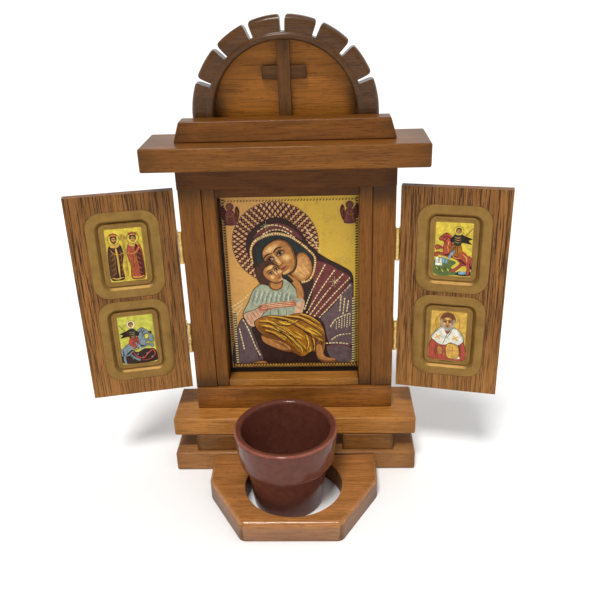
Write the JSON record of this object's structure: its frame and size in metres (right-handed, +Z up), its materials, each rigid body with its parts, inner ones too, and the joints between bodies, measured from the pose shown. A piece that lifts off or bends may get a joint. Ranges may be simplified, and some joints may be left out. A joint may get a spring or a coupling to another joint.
{
  "type": "tabletop icon shrine",
  "caption": "Wooden tabletop icon shrine: a cased icon with folding doors on hinges, a toothed arch with a cross on top, and a board in front with a hole that holds a glazed votive cup.",
  "frame": {"origin": "on the table under the case, on the centre line, in the plane of the front edges of the case's side boards", "axes": "+Z up, the front with the icon faces -Y, +X is to the right as one faces the icon"},
  "size_m": [0.3844, 0.1647, 0.4179],
  "materials": {
    "beech": "satin varnish",
    "dark_beech": "satin varnish",
    "door_oak": "satin varnish, open dark grain",
    "gold_tray": "matte gold paint",
    "icon_print": "printed and lacquered",
    "brass": "polished",
    "cup_glaze": "glossy glaze"
  },
  "bodies": {
    "root": {"lower_board": "beech", "spacer_left": "dark_beech", "spacer_right": "dark_beech", "step_board": "beech", "case_floor_board": "dark_beech", "case_top_board": "dark_beech", "side_left": "beech", "side_right": "beech", "back_board": "dark_beech", "strip_left": "beech", "strip_right": "beech", "strip_top": "dark_beech", "strip_bottom": "beech", "icon_print": "icon_print", "lintel_board": "beech", "pediment_board": "beech", "arch_ring": "dark_beech", "tympanum_panel": "beech", "cross_upright": "dark_beech", "cross_arm": "dark_beech", "holder_board": "beech", "hinge_pin_left_upper": "brass", "case_leaf_left_upper": "brass", "case_screw_left_upper_a": "brass", "case_screw_left_upper_b": "brass", "hinge_pin_left_lower": "brass", "case_leaf_left_lower": "brass", "case_screw_left_lower_a": "brass", "case_screw_left_lower_b": "brass", "hinge_pin_right_upper": "brass", "case_leaf_right_upper": "brass", "case_screw_right_upper_a": "brass", "case_screw_right_upper_b": "brass", "hinge_pin_right_lower": "brass", "case_leaf_right_lower": "brass", "case_screw_right_lower_a": "brass", "case_screw_right_lower_b": "brass"},
    "door_left": {"door_left": "door_oak", "door_leaf_left_upper": "brass", "door_screw_left_upper_a": "brass", "door_screw_left_upper_b": "brass", "icon_tray_left_upper": "gold_tray", "icon_plaque_left_upper": "icon_print", "door_leaf_left_lower": "brass", "door_screw_left_lower_a": "brass", "door_screw_left_lower_b": "brass", "icon_tray_left_lower": "gold_tray", "icon_plaque_left_lower": "icon_print"},
    "door_right": {"door_right": "door_oak", "door_leaf_right_upper": "brass", "door_screw_right_upper_a": "brass", "door_screw_right_upper_b": "brass", "icon_tray_right_upper": "gold_tray", "icon_plaque_right_upper": "icon_print", "door_leaf_right_lower": "brass", "door_screw_right_lower_a": "brass", "door_screw_right_lower_b": "brass", "icon_tray_right_lower": "gold_tray", "icon_plaque_right_lower": "icon_print"},
    "cup": {"votive_cup": "cup_glaze"}
  },
  "joints": [
    {"name": "left_door_hinge", "type": "hinge", "parent": "root", "child": "door_left", "pos_m": [-0.0969, 0, 0.18025], "axis": [0, 0, -1], "range_deg": [-167.5, 12.5]},
    {"name": "right_door_hinge", "type": "hinge", "parent": "root", "child": "door_right", "pos_m": [0.0969, 0, 0.18025], "axis": [0, 0, 1], "range_deg": [-167.5, 12.5]},
    {"name": "cup_lift", "type": "slide", "parent": "root", "child": "cup", "axis": [0, 0, 1], "range_m": [0, 0.12]}
  ]
}
